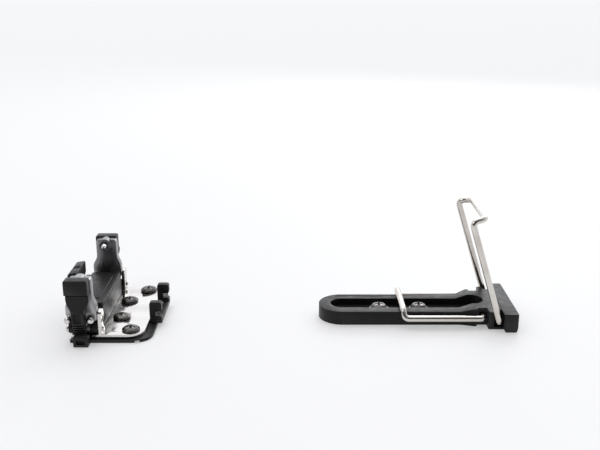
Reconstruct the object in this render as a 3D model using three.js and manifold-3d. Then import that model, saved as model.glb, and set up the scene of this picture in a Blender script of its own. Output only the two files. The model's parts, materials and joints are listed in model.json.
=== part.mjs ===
// A ski touring binding: a toe unit whose two sprung arms hold the boot by pins, and a slotted heel plate
// with two climbing wires.
// Millimetres, +Z up, +X from the ski's tip to its tail, Y = 0 on the ski's centreline.
// The origin lies on the ski's top face, under the axis of the boot pins. The left side is -Y.

import * as THREE from "three";
import { mergeVertices } from "three/addons/utils/BufferGeometryUtils.js";
import Module from "manifold-3d";

const wasm = await Module();
wasm.setup();

// ---- Driving dimensions ----

const GAP = 0.3; // between pieces that touch
const ROUND = 9; // curve steps in half a turn of a round piece
const SIDES = { left: -1, right: 1 };
const SCREW_DEPTH = -9; // how deep the mounting screws go into the ski

const PAD = { front: -7, rear: 39.5, halfWidth: 40.2, top: 1.9, corner: 12 };
const PLATE = { front: -6, rear: 35, halfWidth: 38.4, bottom: 2.2, top: 4.2, corner: 10 };
const ARM_NOTCH = { front: -4.4, rear: 3.5, inner: 36.2 }; // room for each arm in the plate's edge
const TONGUE = { front: -13.4, halfWidth: 12 }; // plate under the lever
const FOOT = { front: -3.1, rear: 5.1, inner: 38.7, outer: 46.8, top: 6.2 };
const EAR = { front: 9.6, rear: 11.6, inner: 31.5, top: 18.4 }; // bent up from the plate's sides
const TOE_SCREW = { rearX: 26.9, rearY: 31.5, frontX: 18, frontY: 13, head: 5.2, shank: 2.6 };

const HINGE = { y: 36, z: 7.5, knuckle: 3, seat: 6.4, pin: 1.6 }; // axis of each arm, along X
const WING = { inner: 33.2, outer: 37.9, front: -8.5, rear: 9.1 };
const COVER = { inner: 38.2, outer: 44.5, top: 39.2 };
const GROOVES = { 6.4: 40.9, 8.2: 41.2, 10: 42, 11.8: 43.1 }; // height of each groove: its floor's |Y|
const BOOT_PIN = { z: 35, radius: 1.9, tip: 27, root: 36.5 };
const BOSS_INNER = 31.4;

const ROD = { front: -7.2, rear: 5.6, z: 13.5, radius: 1.5, end: 11.6 };
const ROD_HEAD = { inner: 38.4, outer: 41.2, radius: 2.3 };
const COLLAR = { inner: 12, outer: 14, radius: 2.5 };
const SPRING = { inner: 14.2, outer: 23.8, wire: 0.45, radius: 2.6, turns: 6 };
const HOUSING = { front: -11.4, rear: 10.2, halfWidth: 26, bottom: 4.5, top: 17.2 };
const CAVITY = { front: -8, rear: 7.9, halfWidth: 11.9, bottom: 7.6 };
const HOUSING_COVER = 1.5; // thickness
const SLIDER = { front: -4.6, rear: 4.4, halfWidth: 6.8, top: 16.4 };

const LEVER = { x: -11, z: 8, hub: 2.4, pin: 1.2, halfWidth: 6, topHalfWidth: 11, top: 32 };
const LEVER_NOTCH = 7; // half the width of the gap in the housing that the lever stands in

const BRACKET = { front: 35.4, rear: 42.6, bottom: 2.2, top: 15.4, earInner: 12.8, earOuter: 17 };

const BAR = { front: 136.6, halfWidth: 14.3, top: 8.35 };
const FLARE = { start: 221.5, end: 229, halfWidth: 16.5, top: 10.9 };
const FRONT_BLOCK = { front: 236.9, rear: 240.5, halfWidth: 21 };
const POCKET = { front: 230.8, rear: 236.9, halfWidth: 14.2 }; // narrow stretch where the low wire turns in
const REAR_BLOCK = { front: 244.9, rear: 253.6, halfWidth: 25.8, top: 11.3 };
const SLOT = { front: 143.7, rear: 237, halfWidth: 7.25, ledge: 4.35, throughHalfWidth: 3.5 };
const HEEL_SCREW = { xs: { front: 173.4, rear: 197.8 }, head: 5, shank: 2.75 };
const WASHER = { radius: 6, thickness: 0.9 };
const KEEPER = { front: 233, rear: 249, halfWidth: 13, top: 1.5, screwX: 238.6, screwY: 10.6 };

const WIRE = 1.9; // radius of both climbing wires
const WIRE_END = 9.2; // where a wire's inturned end stops, from the centreline
const PIVOT_BEND = 3.2; // how far each bend reaches along the wire
const TOP_BEND = 5;
const LOW_WIRE = { x: 234.5, z: 6, y: 19, reach: 47.2, rise: 5.2, setback: -0.9, lean: 0 };
const TALL_WIRE = { x: 242.7, z: 5, y: 23.6, reach: 65.3, rise: 8, setback: 1.5, lean: 72.5 };

// ---- Materials ----

function material(color, roughness, metalness) {
  return new THREE.MeshStandardMaterial({ color, roughness, metalness });
}

const blackPlastic = material(0x232324, 0.55, 0);
const greyAluminium = material(0x77777a, 0.35, 0.9);
const polishedSteel = material(0xb9b6b1, 0.14, 1);
const wireSteel = material(0xa9a49e, 0.22, 1);
const screwSteel = material(0x8f8a84, 0.28, 1);

// ---- Helpers ----

// A closed geometry as a solid that can be joined and cut.
function solid(geometry) {
  const bare = geometry.index ? geometry.toNonIndexed() : geometry.clone();
  bare.deleteAttribute("normal");
  bare.deleteAttribute("uv");
  const merged = mergeVertices(bare, 1e-4);
  return new wasm.Manifold(
    new wasm.Mesh({
      numProp: 3,
      vertProperties: merged.attributes.position.array,
      triVerts: new Uint32Array(merged.index.array),
    }),
  );
}

const join = (...solids) => solids.reduce((whole, piece) => whole.add(piece));
const cut = (whole, ...tools) => tools.reduce((rest, tool) => rest.subtract(tool), whole);

// A named mesh of a solid.
function meshOf(name, whole, look) {
  const made = whole.getMesh();
  const geometry = new THREE.BufferGeometry();
  geometry.setAttribute("position", new THREE.BufferAttribute(made.vertProperties, 3));
  geometry.setIndex(new THREE.BufferAttribute(made.triVerts, 1));
  geometry.computeVertexNormals();
  const mesh = new THREE.Mesh(geometry, look);
  mesh.name = name;
  return mesh;
}

// How each axis carries an outline drawn in its own plane: "x" takes (y, z), "y" takes (x, z), and "z"
// takes (x, y).
const PLANES = {
  x: new THREE.Matrix4().makeBasis(
    new THREE.Vector3(0, 1, 0),
    new THREE.Vector3(0, 0, 1),
    new THREE.Vector3(1, 0, 0),
  ),
  y: new THREE.Matrix4().makeBasis(
    new THREE.Vector3(1, 0, 0),
    new THREE.Vector3(0, 0, 1),
    new THREE.Vector3(0, -1, 0),
  ),
  z: new THREE.Matrix4(),
};

// An outline pushed along an axis, from low to high.
function prism(axis, shape, low, high, curveSegments = 8) {
  const options = { depth: high - low, bevelEnabled: false, curveSegments };
  const geometry = new THREE.ExtrudeGeometry(shape, options);
  geometry.translate(0, 0, axis === "y" ? -high : low);
  return solid(geometry.applyMatrix4(PLANES[axis]));
}

const outline = (...points) => new THREE.Shape(points.map(([u, v]) => new THREE.Vector2(u, v)));

// A straight-sided outline whose corners are rounded; each point may carry its own radius.
function roundedOutline(radius, ...points) {
  const shape = new THREE.Shape();
  points.forEach(([u, v, own], i) => {
    const here = new THREE.Vector2(u, v);
    const before = new THREE.Vector2(...points.at(i - 1).slice(0, 2)).sub(here);
    const after = new THREE.Vector2(...points[(i + 1) % points.length].slice(0, 2)).sub(here);
    const reach = Math.min(own ?? radius, before.length() / 2, after.length() / 2);
    const start = here.clone().add(before.setLength(reach));
    const end = here.clone().add(after.setLength(reach));
    if (i === 0) shape.moveTo(start.x, start.y);
    else shape.lineTo(start.x, start.y);
    shape.quadraticCurveTo(here.x, here.y, end.x, end.y);
  });
  return shape;
}

// A plan about the centreline, with its four corners rounded.
function roundedRectangle(corner, front, rear, halfWidth) {
  const [left, right] = [-halfWidth, halfWidth];
  return roundedOutline(corner, [front, left], [rear, left], [rear, right], [front, right]);
}

const box = (x0, x1, y0, y1, z0, z1) => prism("z", outline([x0, y0], [x1, y0], [x1, y1], [x0, y1]), z0, z1);

// A round bar along an axis; u and v place its middle in that axis's plane.
function rod(axis, u, v, radius, low, high, sides = ROUND) {
  const circle = new THREE.Shape();
  circle.absarc(u, v, radius, 0, Math.PI * 2);
  return prism(axis, circle, low, high, sides);
}

// A turned piece about a vertical axis at (x, y), from a profile of [radius, z] that starts and ends on
// the axis.
function turned(profile, x, y, sides = 24) {
  const geometry = new THREE.LatheGeometry(profile.map(([r, z]) => new THREE.Vector2(r, z)), sides);
  geometry.rotateX(Math.PI / 2);
  geometry.translate(x, y, 0);
  return solid(geometry);
}

// A turned piece about an axis along "x" or "y", from a profile of [radius, place on the axis].
// u and v place the axis: (y, z) for "x", (x, z) for "y".
function turnedAlong(axis, profile, u, v, sides = 18) {
  const geometry = new THREE.LatheGeometry(profile.map(([r, h]) => new THREE.Vector2(r, h)), sides);
  if (axis === "x") geometry.rotateZ(-Math.PI / 2).translate(0, u, v);
  else geometry.translate(u, 0, v);
  return solid(geometry);
}

// A path whose own stations are the steps of the sweep.
class StationPath extends THREE.Curve {
  constructor(stations) {
    super();
    this.stations = stations;
  }
  getPoint(t, target = new THREE.Vector3()) {
    const place = t * (this.stations.length - 1);
    const i = Math.min(Math.floor(place), this.stations.length - 2);
    return target.lerpVectors(this.stations[i], this.stations[i + 1], place - i);
  }
  getPointAt(t, target) {
    return this.getPoint(t, target);
  }
  getTangentAt(t, target = new THREE.Vector3()) {
    const step = 0.5 / (this.stations.length - 1);
    return target
      .copy(this.getPoint(Math.min(1, t + step)))
      .sub(this.getPoint(Math.max(0, t - step)))
      .normalize();
  }
}

// A round wire along a list of stations.
function sweep(stations, radius, sides) {
  const circle = new THREE.Shape();
  circle.absarc(0, 0, radius, 0, Math.PI * 2);
  const geometry = new THREE.ExtrudeGeometry(circle, {
    steps: stations.length - 1,
    extrudePath: new StationPath(stations),
    curveSegments: sides,
  });
  return solid(geometry);
}

// Stations along straight runs that are joined by round bends, one bend for each inner corner.
function bentStations(corners, bends, perBend) {
  const stations = [corners[0]];
  for (let i = 1; i < corners.length - 1; i++) {
    const here = corners[i];
    const before = corners[i - 1];
    const after = corners[i + 1];
    const back = before.clone().sub(here);
    const onward = after.clone().sub(here);
    const reach = Math.min(bends[i - 1], back.length() * 0.48, onward.length() * 0.48);
    const start = here.clone().add(back.setLength(reach));
    const end = here.clone().add(onward.setLength(reach));
    const curve = new THREE.QuadraticBezierCurve3(start, here, end);
    stations.push(...curve.getPoints(perBend));
  }
  stations.push(corners.at(-1));
  return stations;
}

// A left-hand piece, or its mirror image for the right side.
const mirrored = (whole, side) => (side === SIDES.left ? whole : whole.mirror([0, 1, 0]));

// ---- Toe unit ----

const screwPlaces = Object.entries(SIDES).flatMap(([label, side]) => [
  { name: `toe_screw_front_${label}`, x: TOE_SCREW.frontX, y: side * TOE_SCREW.frontY },
  { name: `toe_screw_rear_${label}`, x: TOE_SCREW.rearX, y: side * TOE_SCREW.rearY },
]);

const toeScrewHoles = () => screwPlaces.map(({ x, y }) => rod("z", x, y, TOE_SCREW.shank + GAP, -1, 8));

// A flat plan with a square front and round rear corners.
const toePlan = ({ front, rear, halfWidth, corner }) =>
  roundedOutline(1.5, [front, -halfWidth], [rear, -halfWidth, corner], [rear, halfWidth, corner], [
    front,
    halfWidth,
  ]);

// The foot beside an arm: its seat follows the arm's drum, and a small window opens in its outer face.
function foot() {
  const { front, rear, inner, outer, top } = FOOT;
  const section = roundedOutline(1, [-inner, 0, 0.1], [-inner, top, 0.1], [-outer, top], [-outer, 0]);
  const block = prism("x", section, front, rear);
  const window = box(-1.4, 3.4, -outer - 1, -outer + 1.6, 1.7, 4.4);
  return cut(block, window);
}

function toePad() {
  const flat = prism("z", toePlan(PAD), 0, PAD.top);
  const tongue = box(TONGUE.front, PAD.front + 1, -TONGUE.halfWidth, TONGUE.halfWidth, 0, PAD.top);
  const seats = Object.values(SIDES).map((side) => rod("x", side * HINGE.y, HINGE.z, HINGE.seat, -8, 8));
  const reliefs = [-40, 35].map((low) => box(21, 33, low, low + 5, -1, 1.2));
  const feet = Object.values(SIDES).map((side) => mirrored(foot(), side));
  return cut(join(flat, tongue, ...feet), ...seats, ...reliefs, ...toeScrewHoles());
}

// Polished base plate, with an ear bent up at each side behind the arm.
function toePlate() {
  const flat = prism("z", toePlan(PLATE), PLATE.bottom, PLATE.top);
  const { front, halfWidth } = TONGUE;
  const tongue = box(front, PLATE.front + 1, -halfWidth, halfWidth, PLATE.bottom, PLATE.top);
  const ears = Object.values(SIDES).map((side) => {
    const ear = roundedOutline(
      2,
      [-PLATE.halfWidth, PLATE.bottom, 0.1],
      [-EAR.inner, PLATE.bottom, 0.1],
      [-EAR.inner, EAR.top],
      [-PLATE.halfWidth, EAR.top],
    );
    return mirrored(prism("x", ear, EAR.front, EAR.rear), side);
  });
  const bores = Object.values(SIDES).map((side) => rod("x", side * HINGE.y, HINGE.z, HINGE.pin + GAP, 8, 13));
  const notches = Object.values(SIDES).map((side) =>
    mirrored(box(ARM_NOTCH.front, ARM_NOTCH.rear, -50, -ARM_NOTCH.inner, 0, 8), side),
  );
  return cut(join(flat, tongue, ...ears), ...bores, ...notches, ...toeScrewHoles());
}

// A pan-head mounting screw with a cross recess.
function mountingScrew(x, y, seat, head, shank) {
  const body = turned(
    [
      [0, SCREW_DEPTH],
      [shank * 0.4, SCREW_DEPTH + 1.5],
      [shank, SCREW_DEPTH + 4],
      [shank, seat],
      [head, seat],
      [head, seat + 0.9],
      [head * 0.75, seat + 1.9],
      [0, seat + 2.4],
    ],
    x,
    y,
  );
  return cut(body, crossRecess(x, y, seat + 0.9));
}

function crossRecess(x, y, low) {
  const arm = 2.4;
  const half = 0.6;
  return join(
    box(x - arm, x + arm, y - half, y + half, low, low + 4),
    box(x - half, x + half, y - arm, y + arm, low, low + 4),
  );
}

// Block inboard of an arm, with a knuckle before and behind the arm's own.
function hingeBlock(side) {
  const { y, z, knuckle, pin } = HINGE;
  const wall = box(-7, WING.rear, -32.4, -30.4, HOUSING.bottom, 11.5);
  const knuckles = [
    [-7, -3],
    [5.1, WING.rear],
  ].flatMap(([low, high]) => [
    rod("x", -y, z, knuckle, low, high),
    box(low, high, -y, -31, HOUSING.bottom, z + 1.6),
  ]);
  const bore = rod("x", -y, z, pin + GAP, -20, 20);
  return mirrored(cut(join(wall, ...knuckles), bore), side);
}

// Steel axle through block, arm and ear, with a domed head in front.
function armAxle(side) {
  const { y, z, pin } = HINGE;
  const profile = [
    [0, -9.7],
    [1.5, -9.4],
    [2.6, -8.4],
    [2.6, -7.3],
    [pin, -7.3],
    [pin, 12.6],
    [0, 12.6],
  ];
  return mirrored(turnedAlong("x", profile, -y, z), side);
}

// Aluminium core of an arm: a knuckle on the axle, a plate that the rods pass through, and the pin's boss.
function wing(side) {
  const { y, z, knuckle, pin } = HINGE;
  const { inner, outer, front, rear } = WING;
  const root = [
    rod("x", -y, z, knuckle, -2.7, 4.8),
    box(-2.7, 3.4, -outer, -inner, z, 13),
  ];
  const plate = prism(
    "y",
    roundedOutline(
      2,
      [front, 12.6],
      [rear, 12.6],
      [rear, 22],
      [7, 26],
      [7, 38.4],
      [-5.8, 38.4],
      [-5.8, 26],
      [front, 22],
    ),
    -outer,
    -inner,
    3,
  );
  const boss = rod("y", 0, BOOT_PIN.z, 4.2, -outer, -BOSS_INNER);
  const slots = [ROD.front, ROD.rear].map((x) => {
    const half = ROD.radius + GAP + 0.1;
    return box(x - half, x + half, -outer - 1, -inner + 1, ROD.z - 2.7, ROD.z + 2.7);
  });
  const bore = rod("x", -y, z, pin + GAP, -20, 20);
  const pinBore = rod("y", 0, BOOT_PIN.z, BOOT_PIN.radius + GAP, -BOOT_PIN.root - GAP, -20);
  return mirrored(cut(join(...root, plate, boss), ...slots, bore, pinBore), side);
}

// Black cover on the outside of an arm: a ribbed drum in the foot's seat, a waist, and a broad top.
function armCover(side) {
  const { inner, outer, top } = COVER;
  const section = prism(
    "x",
    outline(
      [-inner, HINGE.z - 5.5],
      [-40.2, HINGE.z - 4.1],
      [-41.6, HINGE.z - 1.9],
      [-42, HINGE.z],
      [-43.2, HINGE.z + 2.5],
      [-outer, HINGE.z + 5],
      [-outer, top],
      [-inner, top],
    ),
    -10,
    12,
  );
  const profile = prism(
    "y",
    roundedOutline(
      0.7,
      [-3.7, 1],
      [3, 1],
      [3, 20.6, 2],
      [6.8, 26.6, 2],
      [6.8, 30.4, 0.3],
      [6.3, 30.4, 0.3],
      [6.3, top, 1],
      [-7, top, 1],
      [-7, 30.4, 0.6],
      [-6.2, 30.2, 0.3],
      [-6.2, 26.6, 2],
      [-3.7, 20.6, 2],
    ),
    -50,
    0,
    3,
  );
  const ribs = Object.entries(GROOVES).map(([low, depth]) => box(-6, 6, -50, -depth, +low, +low + 0.9));
  const panelOutline = roundedOutline(1, [-2.6, 13.8], [1.8, 13.8], [1.8, 19.6], [-2.6, 19.6]);
  const panel = prism("y", panelOutline, -50, -outer + 0.6, 3);
  const seam = box(-9, 9, -50, -outer + 0.6, 30, 30.6);
  const knuckleRoom = rod("x", -HINGE.y, HINGE.z, HINGE.knuckle + GAP, -20, 20);
  return mirrored(cut(section.intersect(profile), ...ribs, panel, seam, knuckleRoom), side);
}

// Hardened cone-tipped pin that enters the boot's toe fitting.
function bootPin(side) {
  const { z, radius, tip, root } = BOOT_PIN;
  const profile = [
    [0, -root],
    [radius, -root],
    [radius, -tip - 3.2],
    [1.3, -tip - 1],
    [0, -tip],
  ];
  return mirrored(turnedAlong("y", profile, 0, z), side);
}

// Rod that ties an arm to its spring: a collar inside, a domed head outside.
function springRod(x, side) {
  const { z, radius, end } = ROD;
  const profile = [
    [0, -ROD_HEAD.outer],
    [1.4, -ROD_HEAD.outer + 0.2],
    [ROD_HEAD.radius, -ROD_HEAD.outer + 1.5],
    [ROD_HEAD.radius, -ROD_HEAD.inner],
    [radius, -ROD_HEAD.inner],
    [radius, -COLLAR.outer],
    [COLLAR.radius, -COLLAR.outer],
    [COLLAR.radius, -COLLAR.inner],
    [radius, -COLLAR.inner],
    [radius, -end],
    [0, -end],
  ];
  return mirrored(turnedAlong("y", profile, x, z), side);
}

function coilSpring(x, side) {
  const { inner, outer, wire, radius, turns } = SPRING;
  const perTurn = 9;
  const count = turns * perTurn;
  const stations = Array.from({ length: count + 1 }, (_, i) => {
    const angle = (i / perTurn) * Math.PI * 2;
    const along = THREE.MathUtils.lerp(inner + wire + 0.3, outer - wire - 0.1, i / count);
    const reach = radius - wire;
    return new THREE.Vector3(x + reach * Math.cos(angle), -along, ROD.z + reach * Math.sin(angle));
  });
  return mirrored(sweep(stations, wire, 3), side);
}

// Housing of the four springs, open on top for the slider and in front for the lever.
function springHousing() {
  const { front, rear, halfWidth, bottom, top } = HOUSING;
  const block = box(front, rear, -halfWidth, halfWidth, bottom, top);
  const notch = box(front - 1, CAVITY.front + 0.1, -LEVER_NOTCH, LEVER_NOTCH, bottom - 1, top + 1);
  const cavity = box(CAVITY.front, CAVITY.rear, -CAVITY.halfWidth, CAVITY.halfWidth, CAVITY.bottom, top + 1);
  const bores = [ROD.front, ROD.rear].flatMap((x) =>
    Object.values(SIDES).flatMap((side) => [
      mirrored(rod("y", x, ROD.z, SPRING.radius + GAP, -SPRING.outer - GAP, -11), side),
      mirrored(rod("y", x, ROD.z, ROD.radius + GAP, -30, -11), side),
    ]),
  );
  const pinBore = rod("y", LEVER.x, LEVER.z, LEVER.pin + GAP, -12, 12);
  return cut(block, notch, cavity, ...bores, pinBore);
}

// Lid over the housing, with a shallow raised field.
function housingCover() {
  const low = HOUSING.top + GAP;
  const high = low + HOUSING_COVER;
  const { halfWidth, rear } = HOUSING;
  const plan = roundedRectangle(2, -7.4, rear, halfWidth);
  const field = roundedRectangle(2, -4, 7, 19);
  return join(prism("z", plan, low, high, 4), prism("z", field, high - 0.1, high + 0.5, 4));
}

// Slider between the rods' ends that the lever draws forward.
function lockSlider() {
  const { front, rear, halfWidth, top } = SLIDER;
  const low = CAVITY.bottom + GAP;
  const plan = roundedRectangle(1.2, front, rear, halfWidth);
  return cut(prism("z", plan, low, top, 4), box(-1.6, 1.6, -3.4, 3.4, low + 2, top + 1));
}

// Front lever: a hub on its pin, a narrow neck, and a broad handle with a dimple for a pole's tip.
function frontLever() {
  const { x, z, hub, pin, halfWidth, topHalfWidth, top } = LEVER;
  const side = roundedOutline(
    1.2,
    [x - 1.7, z],
    [x + 1.7, z],
    [x + 1.7, 20.4, 2],
    [x + 3.2, 24, 2],
    [x + 3.3, top],
    [x - 2.4, top - 1],
    [x - 2.6, 24, 3],
    [x - 1.7, 19, 3],
  );
  const face = roundedOutline(
    2,
    [-halfWidth, z - 1, 0.1],
    [halfWidth, z - 1, 0.1],
    [halfWidth, 19.5],
    [topHalfWidth, 24],
    [topHalfWidth, top + 1],
    [-topHalfWidth, top + 1],
    [-topHalfWidth, 24],
    [-halfWidth, 19.5],
  );
  const body = prism("y", side, -15, 15, 3).intersect(prism("x", face, x - 6, x + 8, 3));
  const dimple = solid(new THREE.SphereGeometry(3.4, 16, 8).translate(x + 0.4, 0, top + 1.6));
  const barrel = rod("y", x, z, hub, -halfWidth, halfWidth);
  return cut(join(body, barrel), dimple, rod("y", x, z, pin + GAP, -20, 20));
}

// Ears that take a ski crampon's cross axle from behind.
function cramponBracket() {
  const { front, rear, bottom, top, earInner, earOuter } = BRACKET;
  const ear = prism(
    "y",
    roundedOutline(
      1.4,
      [front, bottom, 0.2],
      [rear, bottom, 0.2],
      [rear, bottom + 4.4],
      [front + 3.4, bottom + 4.4, 0.8],
      [front + 3.4, bottom + 7.4, 0.8],
      [rear, bottom + 7.4, 0.8],
      [rear, top],
      [front, top],
    ),
    -earOuter,
    -earInner,
    3,
  );
  const base = box(front, rear, -earOuter, earOuter, bottom, bottom + 2.4);
  const holes = [-1, 1].map((side) => rod("z", (front + rear) / 2 - 1.4, side * 7, 1.2 + GAP, 0, 8));
  return cut(join(base, ear, ear.mirror([0, 1, 0])), ...holes);
}

function bracketScrew(side) {
  const seat = BRACKET.bottom + 2.4 + GAP;
  const profile = [
    [0, BRACKET.bottom - 0.1],
    [1.2, BRACKET.bottom - 0.1],
    [1.2, seat],
    [2.4, seat],
    [2.4, seat + 0.7],
    [1.5, seat + 1.4],
    [0, seat + 1.6],
  ];
  return turned(profile, (BRACKET.front + BRACKET.rear) / 2 - 1.4, side * 7, 14);
}

// ---- Heel unit ----

// A long plan with a round front end, from the front to the rear.
function roundEnded(front, rear, halfWidth, roundRear) {
  const shape = new THREE.Shape();
  shape.absarc(front + halfWidth, 0, halfWidth, Math.PI / 2, (Math.PI * 3) / 2);
  if (roundRear) shape.absarc(rear - halfWidth, 0, halfWidth, -Math.PI / 2, Math.PI / 2);
  else shape.lineTo(rear, -halfWidth).lineTo(rear, halfWidth);
  return shape;
}

// One-piece heel plate: a slotted bar that flares into the cross blocks that hold both wires.
function heelPlate() {
  const bar = prism("z", roundEnded(BAR.front, FLARE.end, BAR.halfWidth, false), 0, BAR.top, 14);
  const flarePlan = outline(
    [FLARE.start, -BAR.halfWidth],
    [FLARE.end, -FLARE.halfWidth],
    [REAR_BLOCK.rear, -FLARE.halfWidth],
    [REAR_BLOCK.rear, FLARE.halfWidth],
    [FLARE.end, FLARE.halfWidth],
    [FLARE.start, BAR.halfWidth],
  );
  const flareSide = outline(
    [FLARE.start - 1, 0],
    [REAR_BLOCK.rear, 0],
    [REAR_BLOCK.rear, FLARE.top],
    [FLARE.end, FLARE.top],
    [FLARE.start, BAR.top],
    [FLARE.start - 1, BAR.top],
  );
  const flare = prism("z", flarePlan, 0, 20).intersect(prism("y", flareSide, -30, 30));
  const crossBlock = ({ front, rear, halfWidth }, top, corner) => {
    return prism("z", roundedRectangle(corner, front, rear, halfWidth), 0, top, 4);
  };
  const frontBlock = crossBlock(FRONT_BLOCK, FLARE.top, 0.8);
  const taper = roundedOutline(
    0.7,
    [REAR_BLOCK.front + 1, 0],
    [REAR_BLOCK.rear - 1, 0],
    [REAR_BLOCK.rear, 3],
    [REAR_BLOCK.rear, REAR_BLOCK.top],
    [REAR_BLOCK.front, REAR_BLOCK.top],
    [REAR_BLOCK.front, 3],
  );
  const rearBlock = crossBlock(REAR_BLOCK, 20, 1.4).intersect(prism("y", taper, -30, 30, 3));
  const { rear: sillFront, halfWidth: sillHalf } = FRONT_BLOCK;
  const sill = box(sillFront - 1, REAR_BLOCK.front + 2, -sillHalf, sillHalf, 0, 1.6);
  const wide = prism("z", roundEnded(SLOT.front, SLOT.rear, SLOT.halfWidth, true), SLOT.ledge, 20, 10);
  const throughPlan = roundEnded(SLOT.front + 3.8, SLOT.rear - 4.5, SLOT.throughHalfWidth, true);
  const through = prism("z", throughPlan, -1, 20, 8);
  const pivots = [LOW_WIRE, TALL_WIRE].flatMap(({ x, z }) =>
    Object.values(SIDES).map((side) => mirrored(rod("y", x, z, WIRE + GAP, -30, -WIRE_END + GAP), side)),
  );
  const wirePockets = Object.values(SIDES).map((side) =>
    mirrored(box(POCKET.front, POCKET.rear, -30, -POCKET.halfWidth, -1, 20), side),
  );
  const keeperPocket = box(
    KEEPER.front - GAP,
    KEEPER.rear + GAP,
    -KEEPER.halfWidth - GAP,
    KEEPER.halfWidth + GAP,
    -1,
    KEEPER.top + GAP,
  );
  const screwHoles = [-1, 1].map((side) => rod("z", KEEPER.screwX, side * KEEPER.screwY, 1 + GAP, -1, 7));
  const whole = join(bar, flare, frontBlock, rearBlock, sill);
  return cut(whole, wide, through, ...pivots, ...wirePockets, keeperPocket, ...screwHoles);
}

// Steel plate under the head that closes the wires' bores from below.
function bailKeeper() {
  const { front, rear, halfWidth, top, screwX, screwY } = KEEPER;
  const plan = roundedRectangle(2, front, rear, halfWidth);
  const holes = [-1, 1].map((side) => rod("z", screwX, side * screwY, 1 + GAP, -1, 3));
  return cut(prism("z", plan, 0.2, top, 4), ...holes);
}

// Small headless screw up into the heel plate.
const keeperScrew = (side) => rod("z", KEEPER.screwX, side * KEEPER.screwY, 1, 0.3, 6.6, 4);

// A climbing wire drawn lying forward of its pivot, then raised about the pivot by lean degrees.
// Each leg turns in to its pivot at the bottom; the crossbar stands off the legs' plane by rise.
function climbingWire({ x, z, y, reach, rise, setback, lean }) {
  const half = [
    new THREE.Vector3(0, -WIRE_END, 0),
    new THREE.Vector3(0, -y, 0),
    new THREE.Vector3(-reach, -y, 0),
    new THREE.Vector3(-reach + setback, -y + 2.5, rise),
  ];
  const corners = [...half, ...half.map((p) => new THREE.Vector3(p.x, -p.y, p.z)).reverse()];
  const raise = new THREE.Matrix4().makeRotationY(THREE.MathUtils.degToRad(lean));
  const bends = [PIVOT_BEND, TOP_BEND, TOP_BEND, TOP_BEND, TOP_BEND, PIVOT_BEND];
  const stations = bentStations(corners, bends, 4);
  stations.forEach((p) => p.applyMatrix4(raise).add(new THREE.Vector3(x, 0, z)));
  return sweep(stations, WIRE, 5);
}

// Shallow washer that spreads a screw's load on the slot's ledge.
function cupWasher(x) {
  const low = SLOT.ledge + GAP;
  const high = low + WASHER.thickness;
  const disc = turned([[0, low], [WASHER.radius, low], [WASHER.radius - 0.3, high], [0, high]], x, 0);
  return cut(disc, rod("z", x, 0, HEEL_SCREW.shank + GAP, 0, 10));
}

// ---- Assembly ----

const binding = new THREE.Group();
const place = (name, whole, look) => binding.add(meshOf(name, whole, look));

place("toe_pad", toePad(), blackPlastic);
place("toe_plate", toePlate(), polishedSteel);
for (const { name, x, y } of screwPlaces) {
  place(name, mountingScrew(x, y, PLATE.top + GAP, TOE_SCREW.head, TOE_SCREW.shank), screwSteel);
}
place("spring_housing", springHousing(), blackPlastic);
place("housing_cover", housingCover(), blackPlastic);
place("lock_slider", lockSlider(), polishedSteel);
place("front_lever", frontLever(), blackPlastic);
place("lever_pin", rod("y", LEVER.x, LEVER.z, LEVER.pin, -11, 11, 4), polishedSteel);
place("crampon_bracket", cramponBracket(), blackPlastic);
for (const [label, side] of Object.entries(SIDES)) {
  place(`hinge_block_${label}`, hingeBlock(side), blackPlastic);
  place(`arm_axle_${label}`, armAxle(side), polishedSteel);
  place(`wing_${label}`, wing(side), greyAluminium);
  place(`arm_cover_${label}`, armCover(side), blackPlastic);
  place(`boot_pin_${label}`, bootPin(side), polishedSteel);
  place(`bracket_screw_${label}`, bracketScrew(side), screwSteel);
  for (const end of ["front", "rear"]) {
    place(`spring_rod_${end}_${label}`, springRod(ROD[end], side), polishedSteel);
    place(`coil_spring_${end}_${label}`, coilSpring(ROD[end], side), wireSteel);
  }
  place(`keeper_screw_${label}`, keeperScrew(side), screwSteel);
}

place("heel_plate", heelPlate(), blackPlastic);
place("bail_keeper", bailKeeper(), polishedSteel);
place("low_wire", climbingWire(LOW_WIRE), wireSteel);
place("tall_wire", climbingWire(TALL_WIRE), wireSteel);
for (const [end, x] of Object.entries(HEEL_SCREW.xs)) {
  place(`cup_washer_${end}`, cupWasher(x), screwSteel);
  const seat = SLOT.ledge + WASHER.thickness + 2 * GAP;
  place(`heel_screw_${end}`, mountingScrew(x, 0, seat, HEEL_SCREW.head, HEEL_SCREW.shank), screwSteel);
}

export default binding;
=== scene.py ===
"""Looks of the ski touring binding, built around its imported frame. Lengths in mm() are millimetres."""

import json
import math

import bmesh
import bpy
from mathutils import Matrix, Vector


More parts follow.
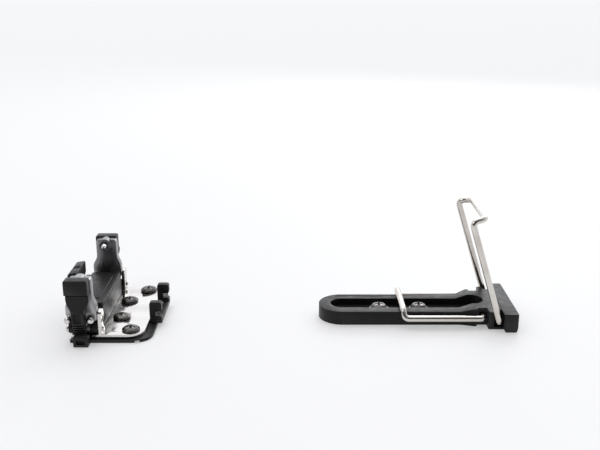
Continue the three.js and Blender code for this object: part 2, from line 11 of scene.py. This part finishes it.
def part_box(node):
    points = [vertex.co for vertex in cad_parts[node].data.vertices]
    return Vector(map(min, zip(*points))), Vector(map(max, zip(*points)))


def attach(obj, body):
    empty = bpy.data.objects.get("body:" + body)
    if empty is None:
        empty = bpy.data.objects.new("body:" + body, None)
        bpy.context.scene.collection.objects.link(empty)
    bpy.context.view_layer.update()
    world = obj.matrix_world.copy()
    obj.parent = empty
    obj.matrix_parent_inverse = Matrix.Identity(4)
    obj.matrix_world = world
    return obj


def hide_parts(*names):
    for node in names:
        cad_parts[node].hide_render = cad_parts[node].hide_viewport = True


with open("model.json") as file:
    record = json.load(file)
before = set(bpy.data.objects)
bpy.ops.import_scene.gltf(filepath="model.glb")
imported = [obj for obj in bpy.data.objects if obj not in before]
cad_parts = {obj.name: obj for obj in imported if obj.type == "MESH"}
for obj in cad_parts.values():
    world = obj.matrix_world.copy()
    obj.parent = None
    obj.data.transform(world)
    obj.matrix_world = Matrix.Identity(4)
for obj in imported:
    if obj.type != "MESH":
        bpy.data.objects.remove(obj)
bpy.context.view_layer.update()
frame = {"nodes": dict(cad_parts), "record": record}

MM = 0.001


# ---- Camera, floor and light ----

CAMERA_PLACE = (0.125, -0.496, 0.210)
CAMERA_PITCH = math.radians(73)
LENS = 52.1
FLOOR_HALF = 15.0
FLOOR_DROP = 0.00005
FLOOR_COLOUR = (0.56, 0.56, 0.565)
FLOOR_GLOW = 0.34
WORLD_BLEND = 0.8  # the sky brightens from minus this to this along Y
WORLD_DIM = 0.07
WORLD_BRIGHT = 1.25


def add_camera():
    data = bpy.data.cameras.new("camera")
    data.lens = LENS
    data.sensor_width = 36
    data.clip_start = 0.01
    camera = bpy.data.objects.new("camera", data)
    camera.location = CAMERA_PLACE
    camera.rotation_euler = (CAMERA_PITCH, 0, 0)
    bpy.context.scene.collection.objects.link(camera)
    bpy.context.scene.camera = camera


def add_area(name, place, target, size, power):
    data = bpy.data.lights.new(name, "AREA")
    data.shape = "RECTANGLE"
    data.size, data.size_y = size
    data.energy = power
    light = bpy.data.objects.new(name, data)
    light.location = place
    light.rotation_euler = (Vector(target) - Vector(place)).to_track_quat("-Z", "Y").to_euler()
    bpy.context.scene.collection.objects.link(light)


def add_sun(name, direction, power, spread_degrees):
    data = bpy.data.lights.new(name, "SUN")
    data.energy = power
    data.angle = math.radians(spread_degrees)
    light = bpy.data.objects.new(name, data)
    light.rotation_euler = Vector(direction).to_track_quat("-Z", "Y").to_euler()
    bpy.context.scene.collection.objects.link(light)


def add_floor():
    mesh = bpy.data.meshes.new("floor")
    signs = ((-1, -1), (1, -1), (1, 1), (-1, 1))
    corners = [(x * FLOOR_HALF, y * FLOOR_HALF, -FLOOR_DROP) for x, y in signs]
    mesh.from_pydata(corners, [], [(0, 1, 2, 3)])
    floor = bpy.data.objects.new("floor", mesh)
    bpy.context.scene.collection.objects.link(floor)
    material, _, _, shader = new_material("pale_floor", FLOOR_COLOUR, 0.6, 0)
    shader.inputs["Emission Color"].default_value = (1, 1, 1, 1)
    shader.inputs["Emission Strength"].default_value = FLOOR_GLOW
    floor.data.materials.append(material)


def add_world():
    """Studio surroundings: dim on the camera's side of the object, bright beyond it."""
    world = bpy.data.worlds.new("studio")
    bpy.context.scene.world = world
    world.use_nodes = True
    nodes = world.node_tree.nodes
    links = world.node_tree.links
    place = nodes.new("ShaderNodeTexCoord")
    parts = nodes.new("ShaderNodeSeparateXYZ")
    reach = nodes.new("ShaderNodeMapRange")
    reach.inputs["From Min"].default_value = -WORLD_BLEND
    reach.inputs["From Max"].default_value = WORLD_BLEND
    reach.inputs["To Min"].default_value = WORLD_DIM
    reach.inputs["To Max"].default_value = WORLD_BRIGHT
    links.new(place.outputs["Generated"], parts.inputs["Vector"])
    links.new(parts.outputs["Y"], reach.inputs["Value"])
    links.new(reach.outputs["Result"], nodes["Background"].inputs["Strength"])
    nodes["Background"].inputs["Color"].default_value = (0.96, 0.97, 1, 1)


def add_light():
    add_world()
    add_sun("overhead", (0.1, -0.25, -1), 0.75, 60)
    add_area("key", (-0.6, -0.5, 0.8), (0.1, 0, 0), (0.35, 0.35), 1.2)
    add_area("rim", (0.5, 0.9, 0.5), (0.12, 0, 0.02), (0.8, 0.3), 2)


# ---- Materials ----


def new_material(name, colour, roughness, metallic):
    material = bpy.data.materials.new(name)
    material.use_nodes = True
    nodes = material.node_tree.nodes
    shader = nodes["Principled BSDF"]
    shader.inputs["Base Color"].default_value = (*colour, 1)
    shader.inputs["Roughness"].default_value = roughness
    shader.inputs["Metallic"].default_value = metallic
    return material, nodes, material.node_tree.links, shader


def noise(nodes, links, scale, detail=4, stretch=(1, 1, 1)):
    place = nodes.new("ShaderNodeTexCoord")
    mapping = nodes.new("ShaderNodeMapping")
    mapping.inputs["Scale"].default_value = stretch
    texture = nodes.new("ShaderNodeTexNoise")
    texture.inputs["Scale"].default_value = scale
    texture.inputs["Detail"].default_value = detail
    links.new(place.outputs["Object"], mapping.inputs["Vector"])
    links.new(mapping.outputs["Vector"], texture.inputs["Vector"])
    return texture.outputs["Fac"]


def ramp(nodes, links, source, low, high, first, last):
    node = nodes.new("ShaderNodeValToRGB")
    node.color_ramp.elements[0].position = low
    node.color_ramp.elements[1].position = high
    node.color_ramp.elements[0].color = (*first, 1)
    node.color_ramp.elements[1].color = (*last, 1)
    links.new(source, node.inputs["Fac"])
    return node.outputs["Color"]


def spread(nodes, links, source, low, high):
    node = nodes.new("ShaderNodeMapRange")
    node.inputs["From Min"].default_value = 0.3
    node.inputs["From Max"].default_value = 0.7
    node.inputs["To Min"].default_value = low
    node.inputs["To Max"].default_value = high
    links.new(source, node.inputs["Value"])
    return node.outputs["Result"]


def bump(nodes, links, shader, source, distance, strength=1.0):
    node = nodes.new("ShaderNodeBump")
    node.inputs["Distance"].default_value = distance
    node.inputs["Strength"].default_value = strength
    links.new(source, node.inputs["Height"])
    links.new(node.outputs["Normal"], shader.inputs["Normal"])


def surface(
    name, dark, light, rough, metallic, grain, stretch=(1, 1, 1), relief=0.00002, worn=None, gloss=0.5
):
    """A material with blotches of colour, a fine grain, uneven gloss and, with worn, rubbed edges."""
    material, nodes, links, shader = new_material(name, light, rough[0], metallic)
    shader.inputs["Specular IOR Level"].default_value = gloss
    blotch = noise(nodes, links, 70, 5, stretch)
    colour = ramp(nodes, links, blotch, 0.35, 0.65, dark, light)
    if worn:
        edges = nodes.new("ShaderNodeNewGeometry").outputs["Pointiness"]
        mask = ramp(nodes, links, edges, 0.52, 0.6, (0, 0, 0), (0.55, 0.55, 0.55))
        mix = nodes.new("ShaderNodeMix")
        mix.data_type = "RGBA"
        links.new(mask, mix.inputs[0])
        links.new(colour, mix.inputs[6])
        mix.inputs[7].default_value = (*worn, 1)
        colour = mix.outputs[2]
    links.new(colour, shader.inputs["Base Color"])
    fine = noise(nodes, links, grain, 3, stretch)
    uneven = noise(nodes, links, grain / 6, 4, stretch)
    links.new(spread(nodes, links, uneven, *rough), shader.inputs["Roughness"])
    bump(nodes, links, shader, fine, relief)
    return material


MATERIALS = {
    "black_plastic": surface(
        "moulded_black", (0.004, 0.004, 0.0043), (0.008, 0.008, 0.0085), (0.34, 0.5), 0, 1800,
        relief=0.00003, worn=(0.045, 0.045, 0.045), gloss=0.26,
    ),
    "grey_aluminium": surface(
        "satin_aluminium", (0.2, 0.2, 0.21), (0.3, 0.3, 0.31), (0.26, 0.4), 1, 2400,
        stretch=(1, 1, 0.15), relief=0.000008, worn=(0.6, 0.6, 0.6),
    ),
    "polished_steel": surface(
        "polished_steel", (0.62, 0.6, 0.58), (0.78, 0.76, 0.74), (0.07, 0.2), 1, 1400,
        stretch=(0.12, 1, 1), relief=0.000003,
    ),
    "wire_steel": surface(
        "drawn_wire", (0.6, 0.56, 0.52), (0.74, 0.71, 0.67), (0.12, 0.26), 1, 2600,
        stretch=(0.1, 1, 1), relief=0.000004,
    ),
    "screw_steel": surface(
        "plated_steel", (0.06, 0.055, 0.053), (0.12, 0.115, 0.11), (0.18, 0.34), 1, 2000,
        relief=0.000006, worn=(0.7, 0.68, 0.66),
    ),
}


# ---- Mesh helpers ----

WELD = 0.01  # corners nearer than this become one
FLAT = math.radians(1)  # faces that turn less than this are merged
EDGE_STEPS = 3  # rows of faces around a rounded edge
EDGE_ANGLE = math.radians(32)  # edges that turn more than this are rounded
# Edges that turn more than these, in degrees, are shaded as sharp.
SOFTENED_SHARP = 40
TURNED_SHARP = 38
TUBE_SHARP = 50


def mm(*values):
    return Vector(values) * MM


def object_of(name, bm):
    mesh = bpy.data.meshes.new(name)
    bmesh.ops.recalc_face_normals(bm, faces=bm.faces)
    bm.to_mesh(mesh)
    bm.free()
    piece = bpy.data.objects.new(name, mesh)
    bpy.context.scene.collection.objects.link(piece)
    return piece


def extent(node):
    """The low corner, high corner and centre of a node's box, in millimetres."""
    low, high = (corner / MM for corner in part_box(node))
    return low, high, (low + high) / 2


def sideways(node):
    """Which side a node is on, and how near and how far from the centreline it reaches."""
    low, high, centre = extent(node)
    near, far = sorted((abs(low.y), abs(high.y)))
    return (1 if centre.y > 0 else -1), near, far


def applied(piece):
    """Bakes a piece's modifiers into its mesh."""
    graph = bpy.context.evaluated_depsgraph_get()
    mesh = bpy.data.meshes.new_from_object(piece.evaluated_get(graph))
    piece.modifiers.clear()
    piece.data = mesh


def shade(piece, angle):
    """Smooth shading, apart from edges sharper than the angle in degrees."""
    for face in piece.data.polygons:
        face.use_smooth = True
    piece.data.set_sharp_from_angle(angle=math.radians(angle))


def softened(node, width):
    """A copy of a CAD node with its flat faces merged and its edges rounded."""
    bm = bmesh.new()
    bm.from_mesh(frame["nodes"][node].data)
    bmesh.ops.remove_doubles(bm, verts=bm.verts, dist=WELD * MM)
    bmesh.ops.dissolve_limit(bm, angle_limit=FLAT, verts=bm.verts, edges=bm.edges)
    piece = object_of(f"{node}_finish", bm)
    modifier = piece.modifiers.new("edges", "BEVEL")
    modifier.width = width * MM
    modifier.segments = EDGE_STEPS
    modifier.limit_method = "ANGLE"
    modifier.angle_limit = EDGE_ANGLE
    modifier.use_clamp_overlap = True
    applied(piece)
    shade(piece, SOFTENED_SHARP)
    return piece


def stand_for(piece, node):
    """Gives a piece its node's finish and body, and hides the node."""
    slot = NODE_SLOTS[node]
    piece.data.materials.clear()
    piece.data.materials.append(MATERIALS[slot])
    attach(piece, NODE_BODIES[node])
    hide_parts(node)


NODE_SLOTS = {part["node"]: part["material_slot"] for part in frame["record"]["subparts"]}
BODIES = frame["record"]["behaviour"]["bodies"]
NODE_BODIES = {node: body for body, group in BODIES.items() for node in group}


# ---- Wires and springs ----

WIRE_RADIUS = 1.9
WIRE_END = 9.2
PIVOT_BEND = 3.2
TOP_BEND = 5
WIRES = {
    "low_wire": {"pivot": (234.5, 6), "y": 19, "reach": 47.2, "rise": 5.2, "setback": -0.9, "lean": 0},
    "tall_wire": {"pivot": (242.7, 5), "y": 23.6, "reach": 65.3, "rise": 8, "setback": 1.5, "lean": 72.5},
}
TOP_DRAW_IN = 2.5  # how much nearer the centreline the crossbar's corners are than the legs
WIRE_INSET = 0.03  # keeps the round bar inside the solid's box
BEND_STEPS = 12
SPRING_WIRE = 0.45
SPRING_TURNS = 6
SPRING_STEPS = 28  # points in each turn
SPRING_CLOSING = 0.045  # a larger share closes the end turns up more


def bent_stations(corners, bends, per_bend):
    """Points along straight runs joined by round bends, one bend for each inner corner."""
    stations = [corners[0]]
    for i, bend in enumerate(bends, 1):
        here = corners[i]
        back = corners[i - 1] - here
        onward = corners[i + 1] - here
        reach = min(bend, back.length * 0.48, onward.length * 0.48)
        start = here + back.normalized() * reach
        end = here + onward.normalized() * reach
        for step in range(per_bend + 1):
            t = step / per_bend
            stations.append(start * (1 - t) ** 2 + here * 2 * t * (1 - t) + end * t * t)
    return [*stations, corners[-1]]


def tube(name, stations, radius, sides=32, end_round=0.35):
    """A round bar along its stations, with rounded ends. Lengths in millimetres."""
    along = [Vector(p) for p in stations]
    first = (along[1] - along[0]).normalized()
    last = (along[-1] - along[-2]).normalized()
    rings = [(along[0], first, radius - end_round)]
    rings += [(along[0] + first * end_round, first, radius)]
    for i in range(1, len(along) - 1):
        rings.append((along[i], (along[i + 1] - along[i - 1]).normalized(), radius))
    rings += [(along[-1] - last * end_round, last, radius), (along[-1], last, radius - end_round)]
    bm = bmesh.new()
    side = first.orthogonal().normalized()
    previous = None
    for centre, forward, reach in rings:
        side = (side - forward * side.dot(forward)).normalized()
        up = forward.cross(side)
        ring = []
        for k in range(sides):
            angle = 2 * math.pi * k / sides
            spot = centre + (side * math.cos(angle) + up * math.sin(angle)) * reach
            ring.append(bm.verts.new(spot * MM))
        if previous:
            for k in range(sides):
                n = (k + 1) % sides
                bm.faces.new((previous[k], previous[n], ring[n], ring[k]))
        else:
            bm.faces.new(list(reversed(ring)))
        previous = ring
    bm.faces.new(previous)
    piece = object_of(name, bm)
    shade(piece, TUBE_SHARP)
    return piece


def climbing_wire(node):
    """A bar bent into a gate, with its two ends turned in as pivots."""
    spec = WIRES[node]
    x, z = spec["pivot"]
    y, reach, rise = spec["y"], spec["reach"], spec["rise"]
    half = [
        Vector((0, -WIRE_END, 0)),
        Vector((0, -y, 0)),
        Vector((-reach, -y, 0)),
        Vector((-reach + spec["setback"], -y + TOP_DRAW_IN, rise)),
    ]
    corners = half + [Vector((p.x, -p.y, p.z)) for p in reversed(half)]
    raised = Matrix.Rotation(math.radians(spec["lean"]), 3, "Y")
    bends = [PIVOT_BEND, TOP_BEND, TOP_BEND, TOP_BEND, TOP_BEND, PIVOT_BEND]
    stations = [raised @ p + Vector((x, 0, z)) for p in bent_stations(corners, bends, BEND_STEPS)]
    return tube(f"{node}_bar", stations, WIRE_RADIUS - WIRE_INSET)


def coil_spring(node):
    """A coil that fills the box of its node, with its end turns closed up."""
    low, high, centre = extent(node)
    side, inner, outer = sideways(node)
    reach = (high.z - low.z) / 2 - SPRING_WIRE
    count = SPRING_TURNS * SPRING_STEPS
    stations = []
    for i in range(count + 1):
        t = i / count
        eased = t - SPRING_CLOSING * math.sin(2 * math.pi * t)
        angle = 2 * math.pi * SPRING_TURNS * t
        along = inner + SPRING_WIRE + (outer - inner - 2 * SPRING_WIRE) * eased
        x = centre.x + reach * math.cos(angle)
        z = centre.z + reach * math.sin(angle)
        stations.append((x, side * along, z))
    return tube(f"{node}_coil", stations, SPRING_WIRE, 14, 0.1)


# ---- Turned pieces ----


# The two directions across each axis, and the axis itself.
AXES = {
    "x": (Vector((0, 1, 0)), Vector((0, 0, 1)), Vector((1, 0, 0))),
    "y": (Vector((0, 0, 1)), Vector((1, 0, 0)), Vector((0, 1, 0))),
    "z": (Vector((1, 0, 0)), Vector((0, 1, 0)), Vector((0, 0, 1))),
}
THREAD_STEPS = 8  # rows in each pitch of a thread
THREAD_SLACK = 0.01  # how far outside the thread a stretch may reach and still carry it


def thread_rows(profile, thread):
    """The profile, with the stretches that carry the thread split into fine rows."""
    rows = [profile[0]]
    for (r0, h0), (r1, h1) in zip(profile, profile[1:]):
        steps = 1
        if thread and r0 and r1:
            low, high, pitch, _ = thread
            if min(h0, h1) >= low - THREAD_SLACK and max(h0, h1) <= high + THREAD_SLACK:
                steps = max(1, round(abs(h1 - h0) / pitch * THREAD_STEPS))
        rows += [(r0 + (r1 - r0) * i / steps, h0 + (h1 - h0) * i / steps) for i in range(1, steps + 1)]
    return rows


def turned(name, profile, axis, place, sides=64, thread=None):
    """A piece turned from (radius, height) points; thread is (low, high, pitch, depth)."""
    rows = thread_rows(profile, thread)
    u, v, w = AXES[axis]
    bm = bmesh.new()
    rings = []
    for radius, height in rows:
        if radius == 0:
            rings.append([bm.verts.new((place + w * height) * MM)])
            continue
        ring = []
        for k in range(sides):
            share = k / sides
            reach = radius
            if thread and thread[0] < height < thread[1]:
                phase = (height / thread[2] - share) % 1
                reach -= thread[3] * abs(2 * phase - 1)
            angle = 2 * math.pi * share
            spot = place + (u * math.cos(angle) + v * math.sin(angle)) * reach + w * height
            ring.append(bm.verts.new(spot * MM))
        rings.append(ring)
    for one, two in zip(rings, rings[1:]):
        for k in range(sides):
            n = (k + 1) % sides
            corners = [one[k % len(one)], one[n % len(one)], two[n % len(two)], two[k % len(two)]]
            unique = list(dict.fromkeys(corners))
            if len(unique) > 2:
                bm.faces.new(unique)
    piece = object_of(name, bm)
    shade(piece, TURNED_SHARP)
    return piece


def rounded_profile(profile, corner, steps=4):
    """The profile with each inner corner rounded."""
    points = [Vector((*p, 0)) for p in profile]
    curve = bent_stations(points, [corner] * (len(points) - 2), steps)
    return [(max(0.0, p.x), p.y) for p in curve]


BLOCK_FACES = ((3, 2, 1, 0), (4, 5, 6, 7), (0, 1, 5, 4), (1, 2, 6, 5), (2, 3, 7, 6), (3, 0, 4, 7))
RECESS_TAPER = (0.55, 1.15)  # a driver recess's size at its floor and at its mouth


def cross_cutter(place, low, high, arm, half):
    """A tapered cross that a driver's tip would fill."""
    bm = bmesh.new()
    for long_x in (True, False):
        for_a, for_b = (arm, half) if long_x else (half, arm)
        corners = []
        for height, share in zip((low, high), RECESS_TAPER):
            a = for_a * share if long_x else for_a
            b = for_b if long_x else for_b * share
            for sx, sy in ((-1, -1), (1, -1), (1, 1), (-1, 1)):
                corners.append(bm.verts.new((place + Vector((sx * a, sy * b, height))) * MM))
        for face in BLOCK_FACES:
            bm.faces.new([corners[i] for i in face])
    return object_of("cross_cutter", bm)


def carve(piece, cutter):
    """Cuts one piece out of another and removes the cutter."""
    modifier = piece.modifiers.new("cut", "BOOLEAN")
    modifier.operation = "DIFFERENCE"
    modifier.solver = "EXACT"
    modifier.use_self = True
    modifier.object = cutter
    bpy.context.view_layer.update()
    applied(piece)
    bpy.data.objects.remove(cutter)
    shade(piece, TURNED_SHARP)


def mounting_screw(node):
    """Domed screw with a cross recess and a threaded shank, in its node's box."""
    low, high, centre = extent(node)
    head = (high.x - low.x) / 2
    shank = head * 0.53
    head_height = 2.4
    seat = high.z - head_height
    pitch = 1.3
    depth = 0.45
    recess = {"arm": 2.4, "half": 0.6}
    profile = [
        (0, low.z),
        (shank * 0.4, low.z + 1.5),
        (shank, low.z + 4),
        (shank, seat - 0.8),
        (shank, seat),
        (head, seat),
        (head, seat + 0.9),
        (head * 0.75, seat + 1.9),
        (0, high.z),
    ]
    place = Vector((centre.x, centre.y, 0))
    thread = (low.z + 1.4, seat - 0.7, pitch, depth)
    dome = rounded_profile(profile[4:], 0.45)
    piece = turned(f"{node}_turned", profile[:4] + dome, "z", place, 72, thread)
    carve(piece, cross_cutter(place, seat + 0.8, high.z + 0.3, **recess))
    return piece


def small_screw(node):
    """A headless threaded screw for the keeper, or a small domed one with a cross recess."""
    low, high, centre = extent(node)
    head = (high.x - low.x) / 2
    place = Vector((centre.x, centre.y, 0))
    if node.startswith("keeper"):
        pitch = 0.6
        depth = 0.15
        profile = [(0, low.z), (head - 0.2, low.z), (head, low.z + 0.2), (head, high.z - 0.4), (0, high.z)]
        return turned(f"{node}_turned", profile, "z", place, 40, (low.z + 0.5, high.z - 0.5, pitch, depth))
    profile = [(0, low.z), (1.2, low.z), (1.2, high.z - 1.6), (head, high.z - 1.6), (head, high.z - 0.9)]
    profile += [(1.5, high.z - 0.2), (0, high.z)]
    piece = turned(f"{node}_turned", rounded_profile(profile, 0.2), "z", place, 48)
    carve(piece, cross_cutter(place, high.z - 0.9, high.z + 0.3, 1.1, 0.3))
    return piece


def spring_rod(node):
    """Rod with a turned collar inside and a polished dome outside."""
    centre = extent(node)[2]
    side, end, outer = sideways(node)
    head = 2.3
    rod = 1.5
    collar = 2.5
    profile = [
        (0, outer),
        (head * 0.55, outer - 0.15),
        (head * 0.9, outer - 0.9),
        (head, outer - 1.7),
        (head, outer - 2.8),
        (rod, outer - 2.8),
        (rod, end + 2.4),
        (collar, end + 2.4),
        (collar, end + 0.4),
        (rod, end + 0.4),
        (rod - 0.2, end),
        (0, end),
    ]
    profile = [(r, side * h) for r, h in rounded_profile(profile, 0.3)]
    return turned(f"{node}_turned", profile, "y", Vector((centre.x, 0, centre.z)), 56)


def arm_axle(node):
    """Plain pin with a domed head towards the front."""
    low, high, centre = extent(node)
    profile = [(0, low.x), (1.5, low.x + 0.3), (2.6, low.x + 1.3), (2.6, low.x + 2.4), (1.6, low.x + 2.4)]
    profile += [(1.6, high.x - 0.4), (1.2, high.x), (0, high.x)]
    place = Vector((0, centre.y, (low.z + high.z) / 2))
    return turned(f"{node}_turned", rounded_profile(profile, 0.25), "x", place, 56)


def boot_pin(node):
    """Pin with a tapering tip that points to the centreline."""
    centre = extent(node)[2]
    side, tip, root = sideways(node)
    profile = [(0, tip), (0.8, tip + 0.25), (1.3, tip + 1), (1.9, tip + 3.2), (1.9, root), (0, root)]
    profile = [(r, side * h) for r, h in rounded_profile(profile, 0.2)]
    return turned(f"{node}_turned", profile, "y", Vector((centre.x, 0, centre.z)), 56)


def lever_pin(node):
    """Plain pin with chamfered ends."""
    low, high, centre = extent(node)
    radius = 1.2
    tip = 0.95
    chamfer = 0.3
    half = [(0, low.y), (tip, low.y), (radius, low.y + chamfer)]
    profile = half + [(radius, high.y - chamfer), (tip, high.y), (0, high.y)]
    return turned(f"{node}_turned", profile, "y", Vector((centre.x, 0, centre.z)), 40)


RING_WELD = 0.001  # joins the first and last rings of a washer


def cup_washer(node):
    """Dished ring; its profile closes on itself."""
    low, high, centre = extent(node)
    outer = (high.x - low.x) / 2
    inner = 3.05  # clears the shank of the mounting screw
    profile = [(inner, low.z + 0.25), (outer - 0.4, low.z), (outer, low.z + 0.3), (outer - 0.3, high.z - 0.1)]
    profile += [(inner + 1, high.z), (inner, high.z - 0.15), (inner, low.z + 0.25)]
    piece = turned(f"{node}_turned", profile, "z", Vector((centre.x, centre.y, 0)), 72)
    bm = bmesh.new()
    bm.from_mesh(piece.data)
    bmesh.ops.remove_doubles(bm, verts=bm.verts, dist=RING_WELD * MM)
    bmesh.ops.recalc_face_normals(bm, faces=bm.faces)
    bm.to_mesh(piece.data)
    bm.free()
    shade(piece, TURNED_SHARP)
    return piece


# ---- Plastic and sheet pieces ----

EDGES = {"heel_plate": 0.45, "arm_cover_left": 0.35, "arm_cover_right": 0.35, "front_lever": 0.5}
DEFAULT_EDGE = 0.2
# The heel plate's plain recess, as its low and high corners in millimetres.
RECESS = ((147, 9.3, 8.1), (170, 12.3, 9.5))
RECESS_CORNER = 1.3


def rounded_plate(name, low, high, corner, steps=6):
    """A flat block with round vertical corners, between two corners in millimetres."""
    bm = bmesh.new()
    rings = []
    for height in (low[2], high[2]):
        ring = []
        for n, (sx, sy) in enumerate(((1, 1), (-1, 1), (-1, -1), (1, -1))):
            x = high[0] if sx > 0 else low[0]
            y = high[1] if sy > 0 else low[1]
            centre = Vector((x - sx * corner, y - sy * corner))
            for k in range(steps + 1):
                angle = math.pi / 2 * (n + k / steps)
                spot = centre + corner * Vector((math.cos(angle), math.sin(angle)))
                ring.append(bm.verts.new(mm(spot.x, spot.y, height)))
        rings.append(ring)
    bm.faces.new(list(reversed(rings[0])))
    bm.faces.new(rings[1])
    for k in range(len(rings[0])):
        n = (k + 1) % len(rings[0])
        bm.faces.new((rings[0][k], rings[0][n], rings[1][n], rings[1][k]))
    return object_of(name, bm)


def heel_plate(node):
    """The slotted plate, with a plain shallow recess on the far rim of its bar."""
    piece = softened(node, EDGES[node])
    carve(piece, rounded_plate("recess_cutter", *RECESS, RECESS_CORNER))
    return piece


def finished(node):
    """A node that keeps its solid's shape."""
    return softened(node, EDGES.get(node, DEFAULT_EDGE))


# ---- Assembly ----

MAKERS = {
    "low_wire": climbing_wire,
    "tall_wire": climbing_wire,
    "coil_spring": coil_spring,
    "toe_screw": mounting_screw,
    "heel_screw": mounting_screw,
    "bracket_screw": small_screw,
    "keeper_screw": small_screw,
    "spring_rod": spring_rod,
    "arm_axle": arm_axle,
    "boot_pin": boot_pin,
    "lever_pin": lever_pin,
    "cup_washer": cup_washer,
    "heel_plate": heel_plate,
}


def maker_of(node):
    for start, make in MAKERS.items():
        if node.startswith(start):
            return make
    return finished


for node in sorted(frame["nodes"]):
    stand_for(maker_of(node)(node), node)

add_camera()
add_floor()
add_light()
bpy.context.scene.view_settings.view_transform = "Standard"
